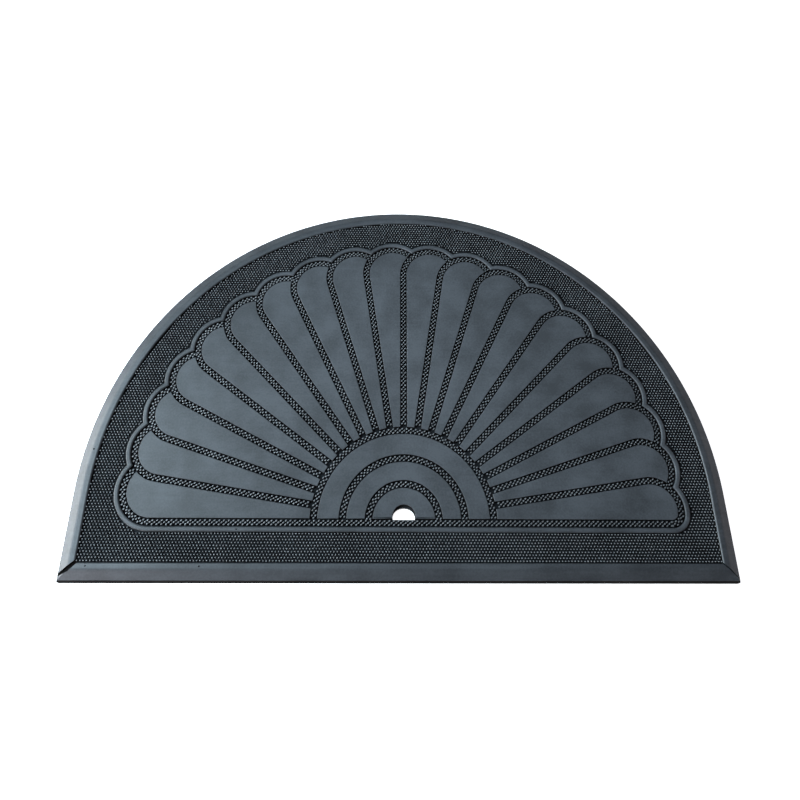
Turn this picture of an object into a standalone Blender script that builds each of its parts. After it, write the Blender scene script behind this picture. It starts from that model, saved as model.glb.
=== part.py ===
"""Half round doormat, moulded in one piece of black rubber.

Metres, +Z up. The mat lies flat with its straight edge towards -Y and its round edge towards +Y.
The origin is on the underside, at the centre of the mat's bounding box.
"""

import math

import bmesh
import bpy
from mathutils import Vector

# Overall size
WIDTH = 0.800
SIDE_LENGTH = 0.100
THICKNESS = 0.012
FLOOR_HEIGHT = 0.006
LIP_HEIGHT = 0.007
CORNER_RADIUS = 0.0045

# Frame around the edge: a slope, then a flat strip, then a wall down to the floor
SLOPE_RUN = 0.0143
STRIP_WIDTH = 0.0072
WALL_DRAFT = 0.0005
MITRE_WIDTH = 0.0012
MITRE_DEPTH = 0.0008

# Fan of petals, measured from the fan's centre, which lies a little above the straight edge
FAN_ABOVE_EDGE = 0.069
BASE_LINE = 0.0018
PETALS = 20
CHANNEL = 0.0088
LEAN = math.radians(1.9)
PETAL_START = 0.1125
TIP_AT_SIDES = 0.334
TIP_RISE = 0.0275
TIP_POWER = 1.5
FIRST_PETAL_FILLET = 0.008

# Scalloped rim that follows the petals' tips and runs straight below them
RIM_GAP = 0.0094
RIM_WIDTH = 0.0058

# Hub: inner and outer radius of the disc and of the two rings
HUB_BANDS = ((0.0, 0.0376), (0.0469, 0.0689), (0.0781, 0.1035))

# Half round hole through the disc
HOLE_RADIUS = 0.014
HOLE_CENTRE_RISE = 0.004
HOLE_FLAT_RISE = 0.001

# Fineness of the round stretches
ARC_STEPS = 72
RING_STEPS = 32
END_STEPS = 9
CORNER_STEPS = 4
HOLE_STEPS = 16

# Depth by which shapes overlap before they are joined or cut
OVERLAP = 0.001

DEPTH = SIDE_LENGTH + WIDTH / 2
EDGE_Y = -DEPTH / 2
ARC_CENTRE_Y = EDGE_Y + SIDE_LENGTH
FAN_CENTRE = Vector((0.0, EDGE_Y + FAN_ABOVE_EDGE))
STEP = math.pi / PETALS
LEAN_SINE = math.sin(STEP / 2 + LEAN)


def clear_scene():
    for item in list(bpy.data.objects):
        bpy.data.objects.remove(item, do_unlink=True)


def new_collection(name):
    collection = bpy.data.collections.new(name)
    bpy.context.scene.collection.children.link(collection)
    return collection


def rubber_material():
    material = bpy.data.materials.new("black_rubber")
    material.use_nodes = True
    shader = material.node_tree.nodes["Principled BSDF"]
    shader.inputs["Base Color"].default_value = (0.045, 0.052, 0.058, 1.0)
    shader.inputs["Roughness"].default_value = 0.55
    shader.inputs["Metallic"].default_value = 0.0
    return material


def polar(radius, angle):
    return Vector((radius * math.cos(angle), radius * math.sin(angle)))


def arc(centre, radius, start, end, steps):
    """Points on a circle from one angle to the other, both ends included."""
    turn = (end - start) / steps
    return [centre + polar(radius, start + turn * i) for i in range(steps + 1)]


def angle_of(point, centre, near):
    """Direction from the centre to the point, as the turn that lies closest to a known angle."""
    angle = math.atan2(point.y - centre.y, point.x - centre.x)
    return near + math.remainder(angle - near, 2 * math.pi)


def circles_meet(centre_a, radius_a, centre_b, radius_b):
    """The crossing of two circles that lies further from the fan's centre."""
    span = centre_b - centre_a
    distance = span.length
    along = (radius_a ** 2 - radius_b ** 2 + distance ** 2) / (2 * distance)
    aside = math.sqrt(radius_a ** 2 - along ** 2)
    direction = span / distance
    normal = Vector((-direction.y, direction.x))
    foot = centre_a + direction * along
    return max((foot + normal * aside, foot - normal * aside), key=lambda point: point.length)


def edge_clearance(index):
    """Distance from a petal's left edge to the ray on its left: the last petal stops at the base line."""
    return BASE_LINE if index == PETALS - 1 else CHANNEL / 2


def petal_end(index):
    """Centre and radius of the circle that rounds off a petal's tip and touches its left edge."""
    angle = STEP * (index + 0.5) - LEAN
    tip = TIP_AT_SIDES + TIP_RISE * math.sin(angle) ** TIP_POWER
    clearance = edge_clearance(index)
    reach = (tip + clearance) / (1 + LEAN_SINE)
    return polar(reach, angle), tip - reach


def corner_fillet(growth):
    """Fillet between the first petal's end circle and the base line, both grown outward."""
    centre, radius = petal_end(0)
    height = BASE_LINE + FIRST_PETAL_FILLET
    offset = math.sqrt((radius - FIRST_PETAL_FILLET) ** 2 - (centre.y - height) ** 2)
    return Vector((centre.x + offset, height)), FIRST_PETAL_FILLET + growth


def petal_outline(index):
    centre, radius = petal_end(index)
    left_ray = STEP * (index + 1)
    clearance = edge_clearance(index)
    touch_angle = left_ray + math.pi / 2

    if index == 0:
        fillet_centre, fillet_radius = corner_fillet(0.0)
        turn_angle = angle_of(fillet_centre, centre, 0.0)
        right_side = arc(fillet_centre, fillet_radius, -math.pi / 2, turn_angle, CORNER_STEPS)[:-1]
        inner_right = math.asin(BASE_LINE / PETAL_START)
        start_angle = turn_angle
    else:
        right_ray = STEP * index
        last_centre, last_radius = petal_end(index - 1)
        corner = circles_meet(centre, radius, last_centre, last_radius + CHANNEL)
        last_touch = right_ray + math.pi / 2
        corner_turn = angle_of(corner, last_centre, right_ray)
        right_side = arc(last_centre, last_radius + CHANNEL, last_touch, corner_turn, END_STEPS)[:-1]
        inner_right = right_ray + math.asin(CHANNEL / 2 / PETAL_START)
        start_angle = angle_of(corner, centre, right_ray)

    end = arc(centre, radius, start_angle, touch_angle, END_STEPS)
    inner_left = left_ray - math.asin(clearance / PETAL_START)
    inner = arc(Vector((0.0, 0.0)), PETAL_START, inner_left, inner_right, 2)
    return right_side + end + inner


def rim_outline(growth):
    """The petals' common outline, grown outward: one arc for each petal, and the straight run below."""
    fillet_centre, fillet_radius = corner_fillet(growth)
    ends = [petal_end(index) for index in range(PETALS)]
    start_angle = angle_of(fillet_centre, ends[0][0], 0.0)
    points = arc(fillet_centre, fillet_radius, -math.pi / 2, start_angle, CORNER_STEPS)[:-1]
    for index in range(PETALS - 1):
        centre, radius = ends[index]
        next_centre, next_radius = ends[index + 1]
        cusp = circles_meet(centre, radius + growth, next_centre, next_radius + growth)
        ray = STEP * (index + 1)
        stop_angle = angle_of(cusp, centre, ray)
        points += arc(centre, radius + growth, start_angle, stop_angle, END_STEPS)[:-1]
        start_angle = angle_of(cusp, next_centre, ray)
    centre, radius = ends[-1]
    points += arc(centre, radius + growth, start_angle, 3 * math.pi / 2, 2 * END_STEPS)
    return points


def hub_outline(inner, outer):
    """Half of a disc or ring, cut off by the base line."""
    outer_start = math.asin(BASE_LINE / outer)
    origin = Vector((0.0, 0.0))
    points = arc(origin, outer, outer_start, math.pi - outer_start, RING_STEPS)
    if inner > 0:
        inner_start = math.asin(BASE_LINE / inner)
        points += arc(origin, inner, math.pi - inner_start, inner_start, RING_STEPS)
    return points


def hole_outline():
    """A little more than half a disc, with its flat side towards the straight edge."""
    centre = Vector((0.0, HOLE_CENTRE_RISE))
    dip = math.asin((HOLE_FLAT_RISE - HOLE_CENTRE_RISE) / HOLE_RADIUS)
    return arc(centre, HOLE_RADIUS, dip, math.pi - dip, HOLE_STEPS)


def mat_outline():
    """Straight edge, two short sides and a half circle, anticlockwise from the near left corner."""
    half = WIDTH / 2
    corners = [Vector((-half, EDGE_Y)), Vector((half, EDGE_Y))]
    return corners + arc(Vector((0.0, ARC_CENTRE_Y)), half, 0.0, math.pi, ARC_STEPS)


def corner_outline():
    """What a rounded corner takes off the near left corner, with room outside the mat."""
    past = 4 * OVERLAP
    centre = Vector((CORNER_RADIUS, CORNER_RADIUS))
    turn = arc(centre, CORNER_RADIUS, 3 * math.pi / 2, math.pi, CORNER_STEPS)
    return turn + [Vector((-past, CORNER_RADIUS)), Vector((-past, -past)), Vector((CORNER_RADIUS, -past))]


def outline_curve(name, outlines, low, high, centre=Vector((0.0, 0.0))):
    """A flat curve filled between its outlines and extruded from one height to the other."""
    curve = bpy.data.curves.new(name, "CURVE")
    curve.dimensions = "2D"
    curve.fill_mode = "BOTH"
    curve.extrude = (high - low) / 2
    for outline in outlines:
        spline = curve.splines.new("POLY")
        spline.points.add(len(outline) - 1)
        for point, place in zip(spline.points, outline):
            point.co = (place.x, place.y, 0.0, 1.0)
        spline.use_cyclic_u = True
    item = bpy.data.objects.new(name, curve)
    item.location = (centre.x, centre.y, (low + high) / 2)
    return item


def as_mesh(item, collection):
    """Replace a curve object by a closed mesh object of the same name and place."""
    name = item.name
    scene = bpy.context.scene
    scene.collection.objects.link(item)
    bpy.context.view_layer.update()
    evaluated = item.evaluated_get(bpy.context.evaluated_depsgraph_get())
    mesh = bpy.data.meshes.new_from_object(evaluated)
    work = bmesh.new()
    work.from_mesh(mesh)
    bmesh.ops.remove_doubles(work, verts=work.verts, dist=0.00001)
    bmesh.ops.recalc_face_normals(work, faces=work.faces)
    work.to_mesh(mesh)
    work.free()
    place = item.matrix_world.copy()
    bpy.data.objects.remove(item, do_unlink=True)
    solid = bpy.data.objects.new(name, mesh)
    solid.matrix_world = place
    collection.objects.link(solid)
    return solid


def as_tool(item):
    item.hide_render = True
    item.display_type = "WIRE"
    return item


def build_tray(collection):
    """The floor plate with the frame around it: lip, slope, strip and inner wall by insets."""
    work = bmesh.new()
    corners = [work.verts.new((place.x, place.y, 0.0)) for place in mat_outline()]
    underside = work.faces.new(corners)
    raised = bmesh.ops.extrude_face_region(work, geom=[underside], use_keep_orig=True)["geom"]
    lifted = [part for part in raised if isinstance(part, bmesh.types.BMVert)]
    bmesh.ops.translate(work, verts=lifted, vec=(0.0, 0.0, LIP_HEIGHT))
    top = [part for part in raised if isinstance(part, bmesh.types.BMFace)]
    bmesh.ops.recalc_face_normals(work, faces=work.faces)
    relief = THICKNESS - FLOOR_HEIGHT
    steps = ((SLOPE_RUN, THICKNESS - LIP_HEIGHT), (STRIP_WIDTH, 0.0), (WALL_DRAFT, -relief))
    for thickness, depth in steps:
        bmesh.ops.inset_region(work, faces=top, thickness=thickness, depth=depth, use_even_offset=True)
    mesh = bpy.data.meshes.new("mat")
    work.to_mesh(mesh)
    work.free()
    item = bpy.data.objects.new("mat", mesh)
    collection.objects.link(item)
    return item


def corner_cutter(side, collection):
    """The sliver that the rounding takes off one of the two near corners, full height."""
    item = outline_curve("corner_cutter", [corner_outline()], -OVERLAP, THICKNESS + OVERLAP)
    item.rotation_euler = (0.0, 0.0, 0.0 if side < 0 else math.pi / 2)
    item.location = (side * WIDTH / 2, EDGE_Y, item.location.z)
    return as_tool(as_mesh(item, collection))


def mitre_cutter(side, collection):
    """A thin groove along the frame's corner, following the slope, strip and inner corner."""
    diagonal = math.sqrt(2)
    past = 4 * OVERLAP
    ridge = (
        (-past, LIP_HEIGHT - MITRE_DEPTH - past * (THICKNESS - LIP_HEIGHT) / SLOPE_RUN),
        (SLOPE_RUN, THICKNESS - MITRE_DEPTH),
        (SLOPE_RUN + STRIP_WIDTH + past, THICKNESS - MITRE_DEPTH),
    )
    top = THICKNESS + past
    profile = [Vector((run * diagonal, height)) for run, height in ridge]
    profile += [Vector((ridge[-1][0] * diagonal, top)), Vector((ridge[0][0] * diagonal, top))]
    item = outline_curve("mitre_cutter", [profile], -MITRE_WIDTH / 2, MITRE_WIDTH / 2)
    item.rotation_euler = (math.pi / 2, 0.0, math.pi / 4 if side < 0 else 3 * math.pi / 4)
    item.location = (side * WIDTH / 2, EDGE_Y, 0.0)
    return as_tool(as_mesh(item, collection))


def add_boolean(item, tool, operation):
    modifier = item.modifiers.new(tool.name, "BOOLEAN")
    modifier.operation = operation
    modifier.solver = "EXACT"
    modifier.object = tool


def build_mat():
    parts = new_collection("half_round_doormat")
    tools = new_collection("cutters")
    mat = build_tray(parts)
    mat.data.materials.append(rubber_material())

    low = FLOOR_HEIGHT - OVERLAP
    petals = [petal_outline(index) for index in range(PETALS)]
    bands = [hub_outline(inner, outer) for inner, outer in HUB_BANDS]
    rim = [rim_outline(RIM_GAP + RIM_WIDTH), rim_outline(RIM_GAP)]
    for name, outlines in (("petals", petals), ("hub", bands), ("rim", rim)):
        shape = outline_curve(name, outlines, low, THICKNESS, FAN_CENTRE)
        add_boolean(mat, as_tool(as_mesh(shape, tools)), "UNION")

    hole = outline_curve("hole_cutter", [hole_outline()], -OVERLAP, THICKNESS + OVERLAP, FAN_CENTRE)
    add_boolean(mat, as_tool(as_mesh(hole, tools)), "DIFFERENCE")
    for side in (-1, 1):
        add_boolean(mat, mitre_cutter(side, tools), "DIFFERENCE")
        add_boolean(mat, corner_cutter(side, tools), "DIFFERENCE")


clear_scene()
build_mat()
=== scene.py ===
"""Looks of the half round doormat: one moulding of black rubber on a white floor.

Metres, +Z up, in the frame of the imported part: the straight edge lies towards -Y and the round edge
towards +Y. The mat's own surface is made here from the same driving sizes as the solid, with drafted
walls, rounded edges and the pins of its short pile.
"""

import math

import bmesh
import bpy
import numpy as np
from mathutils import Matrix, Vector


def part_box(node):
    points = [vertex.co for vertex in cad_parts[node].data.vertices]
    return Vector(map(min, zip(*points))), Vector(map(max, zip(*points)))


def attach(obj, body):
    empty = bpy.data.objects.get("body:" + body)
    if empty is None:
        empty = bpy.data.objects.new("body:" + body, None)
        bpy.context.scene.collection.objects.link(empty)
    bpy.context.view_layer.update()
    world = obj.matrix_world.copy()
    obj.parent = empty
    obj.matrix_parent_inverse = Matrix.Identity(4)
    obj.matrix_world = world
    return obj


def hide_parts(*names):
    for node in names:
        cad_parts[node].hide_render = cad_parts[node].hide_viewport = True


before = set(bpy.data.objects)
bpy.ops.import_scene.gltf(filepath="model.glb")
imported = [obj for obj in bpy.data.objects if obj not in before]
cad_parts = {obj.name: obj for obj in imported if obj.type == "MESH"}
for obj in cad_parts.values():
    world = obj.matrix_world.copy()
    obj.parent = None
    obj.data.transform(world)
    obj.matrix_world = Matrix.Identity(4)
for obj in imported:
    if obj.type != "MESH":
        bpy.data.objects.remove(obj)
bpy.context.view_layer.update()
mat_low, mat_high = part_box("mat")

MM = 0.001

# Overall size, from the solid
WIDTH = mat_high.x - mat_low.x
TOP = mat_high.z
EDGE_Y = mat_low.y
SIDE_LENGTH = (mat_high.y - mat_low.y) - WIDTH / 2
ARC_CENTRE_Y = EDGE_Y + SIDE_LENGTH

# Height of the floor plate, height and draft of the outer lip, the chamfer under it, and the radius of
# the near corners
FLOOR_HEIGHT = 6 * MM
LIP_HEIGHT = 7 * MM
LIP_DRAFT = 3.0 * MM
FOOT_CHAMFER = 0.3 * MM
CORNER_RADIUS = 4.5 * MM

# Frame around the edge: a slope, then a flat strip, then a wall down to the floor
SLOPE_RUN = 14.3 * MM
STRIP_WIDTH = 7.2 * MM
WALL_DRAFT = 0.5 * MM

# Fan of petals, measured from the fan's centre
FAN_CENTRE = Vector((0.0, EDGE_Y + 69 * MM))
BASE_LINE = 1.8 * MM
PETALS = 20
STEP = math.pi / PETALS
CHANNEL = 8.8 * MM
LEAN = math.radians(1.9)
LEAN_SINE = math.sin(STEP / 2 + LEAN)
PETAL_START = 112.5 * MM
TIP_AT_SIDES = 334 * MM
TIP_RISE = 27.5 * MM
TIP_POWER = 1.5
FIRST_PETAL_FILLET = 8 * MM

# Scalloped rim
RIM_GAP = 9.4 * MM
RIM_WIDTH = 5.8 * MM

# Hub: inner and outer radius of the disc and of the two rings
HUB_DISC = 37.6 * MM
HUB_RINGS = ((46.9 * MM, 68.9 * MM), (78.1 * MM, 103.5 * MM))

# Half round hole through the disc
HOLE_RADIUS = 14 * MM
HOLE_CENTRE = Vector((0.0, 4 * MM))
HOLE_FLAT_RISE = 1 * MM

# Height of the arch through the floor plate, as a share of the circle's
HOLE_ARCH = 0.82

# Grooves along the mitres of the near corners, from end to end. Each place is given by its distances
# from the side and from the straight edge, then the groove's half width and depth there
LEFT_GROOVE = (
    (-3 * MM, 3.5 * MM, 0.5 * MM, 3.0 * MM),
    (5 * MM, 9.5 * MM, 1.7 * MM, 4.5 * MM),
    (13 * MM, 14.5 * MM, 2.8 * MM, 5.5 * MM),
    (25 * MM, 25.0 * MM, 1.9 * MM, 5.5 * MM),
)
RIGHT_GROOVE = (
    (-3 * MM, 0.5 * MM, 0.35 * MM, 2.0 * MM),
    (12 * MM, 13.0 * MM, 0.7 * MM, 3.0 * MM),
    (25 * MM, 25.0 * MM, 0.7 * MM, 3.0 * MM),
)

# Vents' marks on the frame's strip and on the rim
VENT_RADIUS = 1 * MM
VENT_DEPTH = 4 * MM
FRAME_VENTS = (
    (-366.0 * MM, EDGE_Y + 18.0 * MM),
    (-236.5 * MM, EDGE_Y + 18.0 * MM),
    (-381.0 * MM, EDGE_Y + 151.0 * MM),
)
RIM_VENT = (-198 * MM, FAN_CENTRE.y + BASE_LINE - RIM_GAP - RIM_WIDTH / 2)

# Finish of the raised shapes: how far they sink into the floor, and the draft of their walls
SINK = 0.5 * MM
DRAFT = 0.45 * MM

# Radii of the rounded edges: petals and hub, rim, the frame's bend and its inner edge
PETAL_EDGE = 0.5 * MM
RIM_EDGE = 1.7 * MM
FRAME_EDGE = 8 * MM
INNER_EDGE = 1.8 * MM

# Faces that meet at more than this angle have a crisp edge between them
CREASE = math.radians(32)

# How far cutting shapes reach past what they cut
PAST = 4 * MM

# A face of the tray this far below the frame's surface lies in a groove or a vent's mark, and gets the
# painted shade
SUNKEN = 1.3 * MM

# Where the frame's inner edge gets a painted highlight, on the right: a lighter colour with lower roughness,
# standing in for the light from the left
PAINTED_HIGHLIGHT_FROM_X = 300 * MM
PAINTED_HIGHLIGHT_TO_Y = 60 * MM

# Pins of the field, in rows parallel to the straight edge
FIELD_PITCH = 3.81 * MM
FIELD_ROW = 3.30 * MM
FIELD_FIRST_ROW = EDGE_Y + 24.0 * MM
FIELD_TO_WALL = 1.0 * MM
FIELD_TO_RIM = 1.8 * MM

# Pins of the channels, in three staggered rows. Those between the petals start a little outside the
# petals' roots, and those round the hub stop at a small angle above the base line
CHANNEL_PITCH = 5.6 * MM
CHANNEL_ROW = 2.15 * MM
CHANNEL_START = PETAL_START + 3 * MM
HUB_ROWS_END = 0.02

# One pin: foot, body, shoulder and dome, as (radius, height above the floor plate)
FIELD_PIN = ((1.15, -0.4), (0.9, 3.4), (0.78, 4.8), (0.6, 5.15), (0.32, 5.32))
CHANNEL_PIN = ((1.3, -0.4), (1.24, 3.6), (1.16, 5.0), (1.0, 5.45), (0.56, 5.7))
CHANNEL_OVAL = 1.25
PIN_SIDES = 8

# Unevenness of the pins: spread of their places, widths, heights and lean, and the heights' mean and limits
PLACE_SPREAD = 0.03 * MM
WIDTH_SPREAD = 0.03
HEIGHT_SPREAD = 0.05 * MM
HEIGHT_MEAN = -0.05 * MM
HEIGHT_LIMITS = (-0.3 * MM, 0.15 * MM)
LEAN_SPREAD = 0.01

# Pieces that the field's and the channels' pins are shared out to, with the first seed of each
FIELD_PIECES = 3
FIELD_SEED = 11
CHANNEL_PIECES = 2
CHANNEL_SEED = 21

# Number of steps of the round stretches
FRAME_STEPS = 256
RING_STEPS = 96
END_STEPS = 24
EDGE_STEPS = 3
ROOT_STEPS = 4

# Studio, in metres: side of the floor and radius of the shell round it
FLOOR_SIZE = 12.0
BACKDROP_RADIUS = 20.0

# Lights: name, heading and elevation in degrees, distance, width and height, power, colour
LIGHTS = (
    ("left_low", 180, 15, 1.3, (0.7, 0.4), 12.2, (0.95, 0.98, 1.0)),
    ("left_far", 180, 6, 5.0, (1.2, 0.4), 66.0, (0.88, 0.97, 1.0)),
    ("left_high", 180, 45, 1.3, (0.8, 0.6), 17.9, (0.68, 0.88, 1.0)),
    ("overhead", 90, 72, 1.8, (0.8, 0.6), 8.6, (0.68, 0.83, 1.0)),
    ("front_left", 225, 20, 1.8, (0.9, 0.5), 14.8, (0.97, 0.93, 1.0)),
    ("right", 0, 20, 2.2, (1.2, 0.7), 3.2, (0.97, 0.90, 0.95)),
)

# Camera: downward tilt, turn to the right and roll in degrees, focal length and shift, and its place
CAMERA_TILT = 65
CAMERA_PAN = 4.27
CAMERA_ROLL = 4.72
CAMERA_LENS = 30.16
CAMERA_SHIFT = -0.1395
CAMERA_PLACE = (-0.0341, -0.2672, 0.8542)


def polar(radius, angle):
    return Vector((radius * math.cos(angle), radius * math.sin(angle)))


def arc(centre, radius, start, end, steps):
    """Points on a circle from one angle to the other, both ends included."""
    turn = (end - start) / steps
    return [centre + polar(radius, start + turn * i) for i in range(steps + 1)]


def angle_of(point, centre, near):
    """Direction from the centre to the point, as the turn that lies closest to a known angle."""
    angle = math.atan2(point.y - centre.y, point.x - centre.x)
    return near + math.remainder(angle - near, 2 * math.pi)


def circles_meet(centre_a, radius_a, centre_b, radius_b):
    """The crossing of two circles that lies further from the fan's centre."""
    span = centre_b - centre_a
    distance = span.length
    forward = (radius_a ** 2 - radius_b ** 2 + distance ** 2) / (2 * distance)
    aside = math.sqrt(radius_a ** 2 - forward ** 2)
    direction = span / distance
    normal = Vector((-direction.y, direction.x))
    foot = centre_a + direction * forward
    return max((foot + normal * aside, foot - normal * aside), key=lambda point: point.length)


def petal_end(index):
    """Centre and radius of the circle that rounds off a petal's tip and touches its left edge."""
    angle = STEP * (index + 0.5) - LEAN
    tip = TIP_AT_SIDES + TIP_RISE * math.sin(angle) ** TIP_POWER
    clearance = BASE_LINE if index == PETALS - 1 else CHANNEL / 2
    reach = (tip + clearance) / (1 + LEAN_SINE)
    return polar(reach, angle), tip - reach


ENDS = [petal_end(index) for index in range(PETALS)]
ORIGIN = Vector((0.0, 0.0))


def corner_fillet(growth):
    """Fillet between the first petal's end circle and the base line, both grown outward."""
    centre, radius = ENDS[0]
    height = BASE_LINE + FIRST_PETAL_FILLET
    offset = math.sqrt((radius - FIRST_PETAL_FILLET) ** 2 - (centre.y - height) ** 2)
    return Vector((centre.x + offset, height)), FIRST_PETAL_FILLET + growth


def petal_outline(index):
    """One petal: its right side, which follows the petal before it, its round tip and its root."""
    centre, radius = ENDS[index]
    left_ray = STEP * (index + 1)
    clearance = BASE_LINE if index == PETALS - 1 else CHANNEL / 2

    if index == 0:
        fillet_centre, fillet_radius = corner_fillet(0.0)
        start_angle = angle_of(fillet_centre, centre, 0.0)
        right_side = arc(fillet_centre, fillet_radius, -math.pi / 2, start_angle, END_STEPS)[:-1]
        inner_right = math.asin(BASE_LINE / PETAL_START)
    else:
        right_ray = STEP * index
        last_centre, last_radius = ENDS[index - 1]
        corner = circles_meet(centre, radius, last_centre, last_radius + CHANNEL)
        corner_turn = angle_of(corner, last_centre, right_ray)
        touch = right_ray + math.pi / 2
        right_side = arc(last_centre, last_radius + CHANNEL, touch, corner_turn, END_STEPS)[:-1]
        inner_right = right_ray + math.asin(CHANNEL / 2 / PETAL_START)
        start_angle = angle_of(corner, centre, right_ray)

    end = arc(centre, radius, start_angle, left_ray + math.pi / 2, END_STEPS)
    inner_left = left_ray - math.asin(clearance / PETAL_START)
    return right_side + end + arc(ORIGIN, PETAL_START, inner_left, inner_right, ROOT_STEPS)


def rim_outline(growth):
    """The petals' common outline, grown outward: one arc for each petal, and the straight run below."""
    fillet_centre, fillet_radius = corner_fillet(growth)
    start_angle = angle_of(fillet_centre, ENDS[0][0], 0.0)
    points = arc(fillet_centre, fillet_radius, -math.pi / 2, start_angle, END_STEPS)[:-1]
    for index in range(PETALS - 1):
        centre, radius = ENDS[index]
        next_centre, next_radius = ENDS[index + 1]
        cusp = circles_meet(centre, radius + growth, next_centre, next_radius + growth)
        ray = STEP * (index + 1)
        stop_angle = angle_of(cusp, centre, ray)
        points += arc(centre, radius + growth, start_angle, stop_angle, END_STEPS)[:-1]
        start_angle = angle_of(cusp, next_centre, ray)
    centre, radius = ENDS[-1]
    return points + arc(centre, radius + growth, start_angle, 3 * math.pi / 2, 3 * END_STEPS)


def ring_outline(inner, outer):
    """Half of a ring, cut off by the base line."""
    outer_start = math.asin(BASE_LINE / outer)
    inner_start = math.asin(BASE_LINE / inner)
    points = arc(ORIGIN, outer, outer_start, math.pi - outer_start, RING_STEPS)
    return points + arc(ORIGIN, inner, math.pi - inner_start, inner_start, RING_STEPS)


def disc_outline():
    """Half of the hub's disc, with the hole's round side taken out of its base."""
    start = math.asin(BASE_LINE / HUB_DISC)
    dip = math.asin((BASE_LINE - HOLE_CENTRE.y) / HOLE_RADIUS)
    points = arc(ORIGIN, HUB_DISC, start, math.pi - start, RING_STEPS)
    return points + arc(HOLE_CENTRE, HOLE_RADIUS, math.pi - dip, dip, RING_STEPS)


def hole_outline():
    """The hole through the floor plate, whose arch is a little lower than that through the disc."""
    radius = HOLE_RADIUS - DRAFT
    dip = math.asin((HOLE_FLAT_RISE - HOLE_CENTRE.y) / radius)
    arch = arc(HOLE_CENTRE, radius, dip, math.pi - dip, RING_STEPS)
    return [Vector((point.x, HOLE_FLAT_RISE + (point.y - HOLE_FLAT_RISE) * HOLE_ARCH)) for point in arch]


def mat_outline(growth):
    """Straight edge with its two corners, then the round edge, anticlockwise."""
    half = WIDTH / 2 + growth
    corners = [Vector((-half, EDGE_Y - growth)), Vector((half, EDGE_Y - growth))]
    return corners + arc(Vector((0.0, ARC_CENTRE_Y)), half, 0.0, math.pi, FRAME_STEPS)


def grown(outline, growth):
    """An anticlockwise outline moved outward by a distance, with mitred corners."""
    moved = []
    count = len(outline)
    for index, point in enumerate(outline):
        before = (point - outline[index - 1]).normalized()
        after = (outline[(index + 1) % count] - point).normalized()
        normal = Vector((before.y + after.y, -before.x - after.x)).normalized()
        moved.append(point + normal * growth / max(normal.dot(Vector((before.y, -before.x))), 0.5))
    return moved


def rounded(corners):
    """A profile through (growth, height, radius) corners, with its inner corners rounded.

    Each rounding has a near point on both legs, which keeps the flats beside it flat.
    """
    profile = [Vector(corners[0][:2])]
    for last, this, following in zip(corners, corners[1:], corners[2:]):
        corner = Vector(this[:2])
        back = (Vector(last[:2]) - corner).normalized()
        ahead = (Vector(following[:2]) - corner).normalized()
        half = back.angle(ahead) / 2
        reach = this[2] / math.tan(half)
        centre = corner + (back + ahead).normalized() * this[2] / math.sin(half)
        start = corner + back * reach
        end = corner + ahead * reach
        profile.append(start + back * reach / 4)
        sweep = (start - centre).angle(end - centre)
        for step in range(EDGE_STEPS + 1):
            share = step / EDGE_STEPS
            side = (start - centre) * math.sin((1 - share) * sweep) + (end - centre) * math.sin(share * sweep)
            profile.append(centre + side / math.sin(sweep))
        profile.append(end + ahead * reach / 4)
    profile.append(Vector(corners[-1][:2]))
    return profile


def add_cap(work, loop, banded):
    """Closes a loop by one face, or by a band of faces where it is two arcs of as many points each."""
    if not banded:
        work.faces.new(loop)
        return
    count = len(loop)
    for i in range(count // 2 - 1):
        work.faces.new((loop[i], loop[i + 1], loop[count - 2 - i], loop[count - 1 - i]))


def add_loft(work, rings, closed, banded=False):
    """Faces between successive rings of points. Open lofts get a cap at each end."""
    loops = [[work.verts.new(point) for point in ring] for ring in rings]
    pairs = list(zip(loops, loops[1:]))
    if closed:
        pairs.append((loops[-1], loops[0]))
    else:
        add_cap(work, loops[0], banded)
        add_cap(work, loops[-1], banded)
    count = len(loops[0])
    for low, high in pairs:
        for i in range(count):
            j = (i + 1) % count
            work.faces.new((low[i], low[j], high[j], high[i]))


def finished(work, name, materials):
    """The shaped piece, smooth over its rounded edges and creased at the others."""
    mesh = bpy.data.meshes.new(name)
    bmesh.ops.recalc_face_normals(work, faces=work.faces)
    work.to_mesh(mesh)
    work.free()
    mesh.shade_smooth()
    mesh.set_sharp_from_angle(angle=CREASE)
    for material in materials:
        mesh.materials.append(material)
    piece = bpy.data.objects.new(name, mesh)
    bpy.context.scene.collection.objects.link(piece)
    return piece


def on_mat(points, height, centre=FAN_CENTRE):
    return [Vector((point.x + centre.x, point.y + centre.y, height)) for point in points]


def paint_shade_on_walls(piece, height):
    """Gives the second material, a painted shade, to the faces that lie below a height."""
    for face in piece.data.polygons:
        if face.center.z < height:
            face.material_index = 1


def raised_piece(name, outlines, edge, materials, banded=False):
    """Flat-topped shapes with drafted walls, standing on the floor plate.

    A last ring of points, well inside the rounded edge, keeps the top flat.
    """
    profile = rounded(((DRAFT, FLOOR_HEIGHT - SINK, 0), (0.0, TOP, edge), (-3 * edge, TOP, 0)))
    work = bmesh.new()
    for outline in outlines:
        rings = [on_mat(grown(outline, growth), height) for growth, height in profile]
        add_loft(work, rings, False, banded)
    piece = finished(work, name, materials)
    # Painted shade on the walls, below the rounded edge
    paint_shade_on_walls(piece, TOP - edge)
    return piece


def rim_piece(materials):
    outer = RIM_GAP + RIM_WIDTH
    foot = FLOOR_HEIGHT - SINK
    corners = (
        (outer + DRAFT, foot, 0),
        (outer, TOP, RIM_EDGE),
        (RIM_GAP, TOP, RIM_EDGE),
        (RIM_GAP - DRAFT, foot, 0),
    )
    work = bmesh.new()
    rings = [on_mat(rim_outline(growth), height) for growth, height in rounded(corners)]
    add_loft(work, rings, closed=True)
    piece = finished(work, "rim", materials)
    cut(piece, [vent_cutter(RIM_VENT)])
    # Painted shade on the rim's walls and its vent's mark, below the rounded edge
    paint_shade_on_walls(piece, TOP - RIM_EDGE)
    return piece


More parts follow.
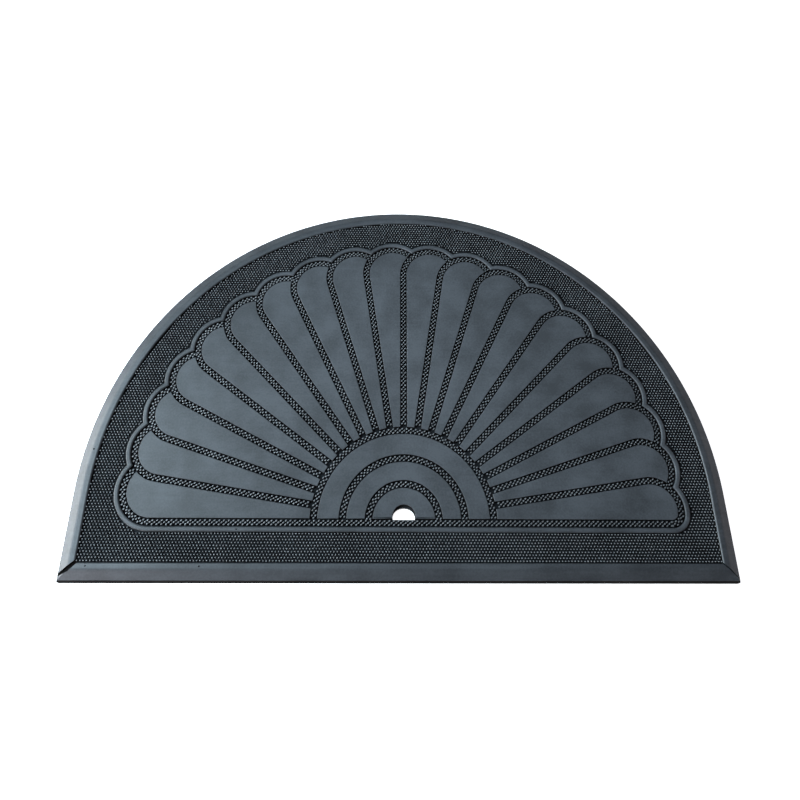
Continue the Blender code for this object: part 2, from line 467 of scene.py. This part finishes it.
def prism(name, outline, low, high):
    """A closed straight-walled solid that is cut out of a piece."""
    work = bmesh.new()
    add_loft(work, [on_mat(outline, low, ORIGIN), on_mat(outline, high, ORIGIN)], closed=False)
    return finished(work, name, [])


def corner_prism(side):
    """What the rounding takes off a near corner."""
    centre = Vector((CORNER_RADIUS, CORNER_RADIUS))
    outline = arc(centre, CORNER_RADIUS, 3 * math.pi / 2, math.pi, END_STEPS)
    outline += [Vector((-PAST, CORNER_RADIUS)), Vector((-PAST, -PAST)), Vector((CORNER_RADIUS, -PAST))]
    corner = Vector((-WIDTH / 2, EDGE_Y))
    placed = [Vector((-side * (corner.x + point.x), corner.y + point.y)) for point in outline]
    return prism("corner_cutter", placed, -PAST, TOP + PAST)


def frame_height(inset):
    """Height of the frame's slope or strip at a distance inside the mat's outline."""
    climb = (inset - LIP_DRAFT) / (SLOPE_RUN - LIP_DRAFT)
    return LIP_HEIGHT + (TOP - LIP_HEIGHT) * min(climb, 1.0)


def groove_cutter(side, sections):
    """What a groove takes off along a near corner's mitre."""
    work = bmesh.new()
    rings = []
    for from_side, from_edge, half_width, depth in sections:
        centre = Vector((side * (WIDTH / 2 - from_side), EDGE_Y + from_edge))
        across = Vector((side, 1.0)).normalized() * half_width
        bottom = frame_height(max(from_side, 0.0)) - depth
        top = TOP + PAST
        ends = (centre - across, centre + across)
        corners = ((ends[0], top), (ends[1], top), (ends[1], bottom), (ends[0], bottom))
        rings.append([Vector((place.x, place.y, height)) for place, height in corners])
    add_loft(work, rings, closed=False)
    return finished(work, "groove_cutter", [])


def cut(piece, cutters):
    """Cuts the solids out of the piece for good, and removes them."""
    for cutter in cutters:
        modifier = piece.modifiers.new(cutter.name, "BOOLEAN")
        modifier.operation = "DIFFERENCE"
        modifier.solver = "EXACT"
        modifier.object = cutter
    bpy.context.view_layer.update()
    evaluated = piece.evaluated_get(bpy.context.evaluated_depsgraph_get())
    mesh = bpy.data.meshes.new_from_object(evaluated)
    piece.modifiers.clear()
    piece.data = mesh
    mesh.name = piece.name
    for cutter in cutters:
        bpy.data.objects.remove(cutter, do_unlink=True)
    mesh.set_sharp_from_angle(angle=CREASE)


def inset_of(point):
    """How far a point lies inside the mat's outline."""
    radial = WIDTH / 2 - math.hypot(point.x, max(point.y - ARC_CENTRE_Y, 0.0))
    return min(radial, point.y - EDGE_Y)


# The frame's inner edge at the right gets a painted highlight
def has_painted_highlight(point):
    return point.x > PAINTED_HIGHLIGHT_FROM_X and point.y < PAINTED_HIGHLIGHT_TO_Y


def vent_cutter(place):
    """The pinprick that a vent of the mould leaves, with eight sides."""
    outline = arc(Vector(place), VENT_RADIUS, 0.0, 1.75 * math.pi, 7)
    return prism("vent_cutter", outline, TOP - VENT_DEPTH, TOP + MM)


def tray_piece(materials):
    """The floor plate and its frame, with the hole, the two mitre grooves and the vents' marks.

    The materials are those of the skin, the painted shade on the walls, lip, grooves and vents' marks, the
    floor with a lighter painted shade, and the painted highlight on the inner edge.
    """
    inner = SLOPE_RUN + STRIP_WIDTH
    corners = (
        (-FOOT_CHAMFER, 0.0, 0),
        (0.0, FOOT_CHAMFER, 0.1 * MM),
        (-LIP_DRAFT, LIP_HEIGHT, 0.3 * MM),
        (-SLOPE_RUN, TOP, FRAME_EDGE),
        (-inner, TOP, INNER_EDGE),
        (-inner - WALL_DRAFT, FLOOR_HEIGHT, 0.5 * MM),
        (-inner - 3 * MM, FLOOR_HEIGHT, 0),
    )
    work = bmesh.new()
    rings = [on_mat(mat_outline(growth), height, ORIGIN) for growth, height in rounded(corners)]
    add_loft(work, rings, closed=False)
    tray = finished(work, "tray", materials)
    hole = prism("hole_cutter", [point + FAN_CENTRE for point in hole_outline()], -MM, TOP)
    grooves = [groove_cutter(-1, LEFT_GROOVE), groove_cutter(1, RIGHT_GROOVE)]
    vents = [vent_cutter(place) for place in FRAME_VENTS]
    cut(tray, [hole, corner_prism(-1), corner_prism(1)] + grooves + vents)
    # Painted shade on the floor plate (slot 2) and on the lip, walls, grooves and vents' marks (slot 1); a
    # painted highlight on the inner edge at the right (slot 3)
    for face in tray.data.polygons:
        inset = inset_of(face.center)
        height = face.center.z
        if inset > inner + WALL_DRAFT:
            face.material_index = 2
        elif not LIP_DRAFT < inset < inner + 0.1 * MM or height < frame_height(inset) - SUNKEN:
            face.material_index = 1
        elif inset > inner - INNER_EDGE and has_painted_highlight(face.center):
            face.material_index = 3
    return tray


def pin_template(profile, oval):
    """Points and faces of one pin, closed on top by a single face, with a material slot for each face.

    The foot's and the body's slot is 1, for painted shade, and that of the shoulder and the dome 0, for
    painted glints. An oval pin is longer towards the back right.
    """
    points = []
    diagonal = math.sqrt(2)
    for radius, height in profile:
        for side in range(PIN_SIDES):
            turn = 2 * math.pi * side / PIN_SIDES
            long = radius * oval * math.cos(turn)
            short = radius / oval * math.sin(turn)
            x = (long - short) / diagonal * MM
            y = (long + short) / diagonal * MM
            points.append((x, y, FLOOR_HEIGHT + height * MM))
    faces = []
    slots = []
    for ring in range(len(profile) - 1):
        for side in range(PIN_SIDES):
            low = ring * PIN_SIDES + side
            low_next = ring * PIN_SIDES + (side + 1) % PIN_SIDES
            faces.append((low, low_next, low_next + PIN_SIDES, low + PIN_SIDES))
            # Painted shade on the foot and body, painted glints on the shoulder and dome
            slots.append(1 if ring < len(profile) - 3 else 0)
    top = (len(profile) - 1) * PIN_SIDES
    faces.append(tuple(range(top, top + PIN_SIDES)))
    slots.append(0)
    return np.array(points), faces, slots


def pins_piece(name, places, profile, oval, seed, materials):
    """Many pins in one mesh, each a little off its place and of slightly different width, height and lean."""
    chance = np.random.default_rng(seed)
    points, faces, slots = pin_template(profile, oval)
    count = len(places)
    centres = np.zeros((count, 1, 3))
    centres[:, 0, :2] = np.array(places) + chance.normal(0, PLACE_SPREAD, (count, 2))
    stretch = np.ones((count, 1, 3))
    stretch[:, 0, :2] = chance.normal(1.0, WIDTH_SPREAD, (count, 1))
    body = points[None] * stretch
    body[:, PIN_SIDES:, 2] += chance.normal(HEIGHT_MEAN, HEIGHT_SPREAD, (count, 1)).clip(*HEIGHT_LIMITS)
    tilt = chance.normal(0, LEAN_SPREAD, (count, 1, 2))
    body[:, :, :2] += tilt * (points[None, :, 2:] - FLOOR_HEIGHT)
    every_point = (body + centres).reshape(-1, 3)
    size = len(points)
    every_face = [tuple(corner + size * pin for corner in face) for pin in range(count) for face in faces]
    mesh = bpy.data.meshes.new(name)
    mesh.from_pydata(every_point.tolist(), [], every_face)
    mesh.shade_smooth()
    for material in materials:
        mesh.materials.append(material)
    mesh.polygons.foreach_set("material_index", slots * count)
    piece = bpy.data.objects.new(name, mesh)
    bpy.context.scene.collection.objects.link(piece)
    return piece


def inside(places, outline):
    """Which places lie within the outline, by counting the edges that cross to their right."""
    x, y = places[:, 0:1], places[:, 1:2]
    start = np.array([tuple(point) for point in outline])
    end = np.roll(start, -1, axis=0)
    crosses = (start[:, 1] > y) != (end[:, 1] > y)
    rise = end[:, 1] - start[:, 1]
    rise[rise == 0] = 1.0
    meets = start[:, 0] + (y - start[:, 1]) * (end[:, 0] - start[:, 0]) / rise
    return ((crosses & (x < meets)).sum(axis=1) % 2).astype(bool)


def field_places():
    """A lattice of staggered rows between the frame's wall and the scalloped rim."""
    rows = int((mat_high.y - FIELD_FIRST_ROW) / FIELD_ROW)
    columns = int(WIDTH / FIELD_PITCH / 2)
    lattice = []
    for row in range(rows):
        shift = FIELD_PITCH / 2 if row % 2 else 0.0
        for column in range(-columns, columns + 1):
            lattice.append((column * FIELD_PITCH + shift, FIELD_FIRST_ROW + row * FIELD_ROW))
    places = np.array(lattice)
    wall = mat_outline(-SLOPE_RUN - STRIP_WIDTH - FIELD_TO_WALL)
    bead = [point + FAN_CENTRE for point in rim_outline(RIM_GAP + RIM_WIDTH + FIELD_TO_RIM)]
    return places[inside(places, wall) & ~inside(places, bead)]


def along(route, pitch):
    """Evenly spaced places on a polyline, with the direction of travel at each."""
    places = []
    travelled = pitch / 2
    for start, end in zip(route, route[1:]):
        span = end - start
        length = span.length
        while travelled <= length:
            places.append((start + span * travelled / length, span / length))
            travelled += pitch
        travelled -= length
    return places


def three_rows(route):
    """Two rows beside a route, and one along it that is staggered by half a pitch."""
    places = []
    for place, direction in along(route, CHANNEL_PITCH / 2):
        side = Vector((-direction.y, direction.x)) * CHANNEL_ROW
        if len(places) % 3 == 0:
            places += [place + side, place - side]
        else:
            places.append(place)
    return places


def channel_routes():
    """Middle lines of the channels: hub rings, base run, and one round each petal."""
    disc_gap = (HUB_DISC + HUB_RINGS[0][0]) / 2
    ring_gap = (HUB_RINGS[0][1] + HUB_RINGS[1][0]) / 2
    petal_gap = (HUB_RINGS[1][1] + PETAL_START) / 2
    routes = []
    for radius in (disc_gap, ring_gap, petal_gap):
        routes.append(arc(ORIGIN, radius, HUB_ROWS_END, math.pi - HUB_ROWS_END, RING_STEPS))
    base_y = BASE_LINE - RIM_GAP / 2
    for index, (centre, radius) in enumerate(ENDS):
        ray = STEP * (index + 1)
        middle = radius + (CHANNEL if index < PETALS - 1 else RIM_GAP) / 2
        if index == 0:
            fillet_centre, fillet_radius = corner_fillet(RIM_GAP / 2)
            stop = angle_of(fillet_centre, centre, 0.0)
        else:
            last_centre, last_radius = ENDS[index - 1]
            meeting = circles_meet(centre, middle, last_centre, last_radius + CHANNEL)
            stop = angle_of(meeting, centre, STEP * index)
        if index < PETALS - 1:
            start = [polar(CHANNEL_START, ray)]
        else:
            start = [Vector((corner_fillet(0.0)[0].x, base_y))]
        route = start + arc(centre, middle, ray + math.pi / 2, stop, END_STEPS)
        if index == 0:
            route += arc(fillet_centre, fillet_radius, stop, -math.pi / 2, END_STEPS)
        routes.append(route)
    return routes


def channel_places():
    places = []
    for route in channel_routes():
        places += three_rows(route)
    return np.array([tuple(place + FAN_CENTRE) for place in places])


def rubber(name, dark, light, roughness, specular=0.5, painted_light_right_factor=1.0, streaks=0.15):
    """Matt black rubber: cloudy tone, faint streaks and grain, and a slightly uneven skin.

    The tone changes by a factor from the left edge to the right one: a painted gradient of light and shade
    that stands in for the lamps' falloff from the left. The noises' scales are per metre.
    """
    material = bpy.data.materials.new(name)
    material.use_nodes = True
    nodes = material.node_tree.nodes
    links = material.node_tree.links
    shader = nodes["Principled BSDF"]
    shader.inputs["Roughness"].default_value = roughness
    shader.inputs["Specular IOR Level"].default_value = specular
    place = nodes.new("ShaderNodeTexCoord")

    def noise(scale, detail, stretch=1.0):
        spread = nodes.new("ShaderNodeMapping")
        spread.inputs["Scale"].default_value = (scale / stretch, scale, scale)
        links.new(place.outputs["Object"], spread.inputs["Vector"])
        node = nodes.new("ShaderNodeTexNoise")
        node.inputs["Scale"].default_value = 1.0
        node.inputs["Detail"].default_value = detail
        links.new(spread.outputs["Vector"], node.inputs["Vector"])
        return node.outputs["Fac"]

    def mixed(a, b, share):
        node = nodes.new("ShaderNodeMix")
        node.inputs["Factor"].default_value = share
        links.new(a, node.inputs["A"])
        links.new(b, node.inputs["B"])
        return node.outputs["Result"]

    clouds = mixed(noise(26.0, 4.0), noise(160.0, 3.0, 9.0), streaks)
    grain = noise(420.0, 3.0)
    ramp = nodes.new("ShaderNodeValToRGB")
    ramp.color_ramp.elements[0].position = 0.39
    ramp.color_ramp.elements[0].color = (*dark, 1.0)
    ramp.color_ramp.elements[1].position = 0.61
    ramp.color_ramp.elements[1].color = (*light, 1.0)
    links.new(mixed(clouds, grain, 0.3), ramp.inputs["Fac"])
    colour = ramp.outputs["Color"]
    # Painted light and shade: the colour is scaled from the left edge to the right one, standing in for the
    # lamps' falloff from the left
    if painted_light_right_factor != 1.0:
        axes = nodes.new("ShaderNodeSeparateXYZ")
        links.new(place.outputs["Object"], axes.inputs["Vector"])
        painted_light_across = nodes.new("ShaderNodeMapRange")
        painted_light_across.inputs["From Min"].default_value = -WIDTH / 2
        painted_light_across.inputs["From Max"].default_value = WIDTH / 2
        painted_light_across.inputs["To Min"].default_value = 1.0
        painted_light_across.inputs["To Max"].default_value = painted_light_right_factor
        links.new(axes.outputs["X"], painted_light_across.inputs["Value"])
        painted_light_scaled = nodes.new("ShaderNodeVectorMath")
        painted_light_scaled.operation = "SCALE"
        links.new(colour, painted_light_scaled.inputs["Vector"])
        links.new(painted_light_across.outputs["Result"], painted_light_scaled.inputs["Scale"])
        colour = painted_light_scaled.outputs["Vector"]
    links.new(colour, shader.inputs["Base Color"])

    bump = nodes.new("ShaderNodeBump")
    bump.inputs["Strength"].default_value = 0.25
    bump.inputs["Distance"].default_value = 0.2 * MM
    links.new(mixed(noise(60.0, 2.0), noise(1300.0, 2.0), 0.4), bump.inputs["Height"])
    links.new(bump.outputs["Normal"], shader.inputs["Normal"])
    return material


def glowing_white(name, base, roughness):
    """White that glows of itself, so that it shows as pure white, over a base of a given brightness."""
    material = bpy.data.materials.new(name)
    material.use_nodes = True
    shader = material.node_tree.nodes["Principled BSDF"]
    shader.inputs["Base Color"].default_value = (base, base, base, 1.0)
    shader.inputs["Roughness"].default_value = roughness
    shader.inputs["Emission Color"].default_value = (1.0, 1.0, 1.0, 1.0)
    shader.inputs["Emission Strength"].default_value = 1.0
    return material


def white_floor():
    """The floor, a hair below the mat so that their faces don't meet."""
    bpy.ops.mesh.primitive_plane_add(size=FLOOR_SIZE, location=(0.0, 0.0, -0.1 * MM))
    floor = bpy.context.object
    floor.name = "floor"
    floor.data.materials.append(glowing_white("white_floor", 0.92, 0.9))


def white_backdrop():
    """A white shell round the studio, for low views. It neither lights the mat nor shades it."""
    bpy.ops.mesh.primitive_uv_sphere_add(segments=64, ring_count=32, radius=BACKDROP_RADIUS)
    shell = bpy.context.object
    shell.name = "backdrop"
    shell.data.materials.append(glowing_white("white_backdrop", 0.0, 0.5))
    shell.visible_diffuse = False
    shell.visible_glossy = False
    shell.visible_shadow = False


def area_light(name, heading, elevation, distance, size, power, colour):
    """A rectangle of light that faces the mat. Its heading is counted anticlockwise from +X."""
    turn, rise = math.radians(heading), math.radians(elevation)
    level = distance * math.cos(rise)
    place = Vector((level * math.cos(turn), level * math.sin(turn), distance * math.sin(rise)))
    light = bpy.data.lights.new(name, "AREA")
    light.shape = "RECTANGLE"
    light.size, light.size_y = size
    light.energy = power
    light.color = colour
    item = bpy.data.objects.new(name, light)
    item.location = place
    item.rotation_euler = (-place).to_track_quat("-Z", "Y").to_euler()
    item.visible_camera = False
    bpy.context.scene.collection.objects.link(item)


def studio():
    """Soft light mostly from the left, with dimmer lights from above, in front and right.

    A far, very low light from the left draws the edges that face it.
    """
    for light in LIGHTS:
        area_light(*light)
    world = bpy.data.worlds.new("studio")
    world.use_nodes = True
    background = world.node_tree.nodes["Background"]
    background.inputs["Color"].default_value = (1.0, 0.62, 0.48, 1.0)
    background.inputs["Strength"].default_value = 0.07
    bpy.context.scene.world = world
    bpy.context.scene.view_settings.view_transform = "Standard"


def photo_camera():
    """Camera in front of the straight edge, looking down on the mat."""
    tilt = math.radians(CAMERA_TILT)
    pan = math.radians(CAMERA_PAN)
    roll = math.radians(CAMERA_ROLL)
    forward = Vector((math.sin(pan) * math.cos(tilt), math.cos(pan) * math.cos(tilt), -math.sin(tilt)))
    level = Vector((math.cos(pan), -math.sin(pan), 0.0))
    upward = level.cross(forward)
    right = level * math.cos(roll) + upward * math.sin(roll)
    up = upward * math.cos(roll) - level * math.sin(roll)
    camera = bpy.data.cameras.new("camera")
    camera.lens = CAMERA_LENS
    camera.shift_y = CAMERA_SHIFT
    item = bpy.data.objects.new("camera", camera)
    axes = Matrix((right, up, -forward)).transposed().to_4x4()
    item.matrix_world = Matrix.Translation(CAMERA_PLACE) @ axes
    bpy.context.scene.collection.objects.link(item)
    bpy.context.scene.camera = item


photo_camera()
studio()
white_floor()
white_backdrop()

# Rubber of the frame and of the raised shapes, with a painted gradient of light and shade from left to right;
# painted shade on their walls and lip, a lighter painted shade on the floor plate and the pins' bodies, a
# painted highlight on the frame's inner edge at the right, and painted glints on the pins' tips
frame_skin = rubber(
    "rubber_frame", (0.025, 0.029, 0.033), (0.049, 0.056, 0.062), 0.46, painted_light_right_factor=1.25, streaks=0.4
)
raised_skin = rubber(
    "rubber_raised", (0.023, 0.027, 0.030), (0.046, 0.053, 0.059), 0.5, painted_light_right_factor=1.72
)
# Painted shade on the walls, lip, grooves and vents' marks
painted_shade_walls = rubber(
    "rubber_walls_painted_shade", (0.012, 0.012, 0.0115), (0.019, 0.0185, 0.018), 0.8, specular=0.0
)
# A lighter painted shade on the floor plate between the pins and on the pins' bodies
painted_shade_low = rubber(
    "rubber_low_painted_shade", (0.018, 0.020, 0.022), (0.028, 0.031, 0.034), 0.7, specular=0.1
)
# Painted highlight on the frame's inner edge at the right, standing in for the light from the left
painted_highlight_edge = rubber(
    "rubber_edge_painted_highlight", (0.050, 0.057, 0.062), (0.075, 0.085, 0.092), 0.38
)
# Painted glints: the pins' shoulders and domes are far lighter than the rubber, standing in for the lamps'
# highlights, with a painted gradient from left to right
painted_glint_field_tips = rubber(
    "rubber_field_tips_painted_glint", (0.19, 0.209, 0.218), (0.245, 0.27, 0.281), 0.42, painted_light_right_factor=1.08
)
painted_glint_channel_tips = rubber(
    "rubber_channel_tips_painted_glint", (0.18, 0.199, 0.209), (0.24, 0.265, 0.278), 0.45, painted_light_right_factor=0.42
)

petal_outlines = [petal_outline(index) for index in range(PETALS)]
hub_outlines = [disc_outline()] + [ring_outline(*ring) for ring in HUB_RINGS]
pieces = [
    tray_piece([frame_skin, painted_shade_walls, painted_shade_low, painted_highlight_edge]),
    rim_piece([raised_skin, painted_shade_walls]),
    raised_piece("petals", petal_outlines, PETAL_EDGE, [raised_skin, painted_shade_walls]),
    raised_piece("hub", hub_outlines, PETAL_EDGE, [raised_skin, painted_shade_walls], banded=True),
]
for number, share in enumerate(np.array_split(field_places(), FIELD_PIECES)):
    name = f"field_pins_{number + 1}"
    seed = FIELD_SEED + number
    pieces.append(pins_piece(name, share, FIELD_PIN, 1.0, seed, [painted_glint_field_tips, painted_shade_low]))
for number, share in enumerate(np.array_split(channel_places(), CHANNEL_PIECES)):
    name = f"channel_pins_{number + 1}"
    seed = CHANNEL_SEED + number
    pieces.append(pins_piece(name, share, CHANNEL_PIN, CHANNEL_OVAL, seed, [painted_glint_channel_tips, painted_shade_low]))

for piece in pieces:
    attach(piece, "root")
    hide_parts("mat")
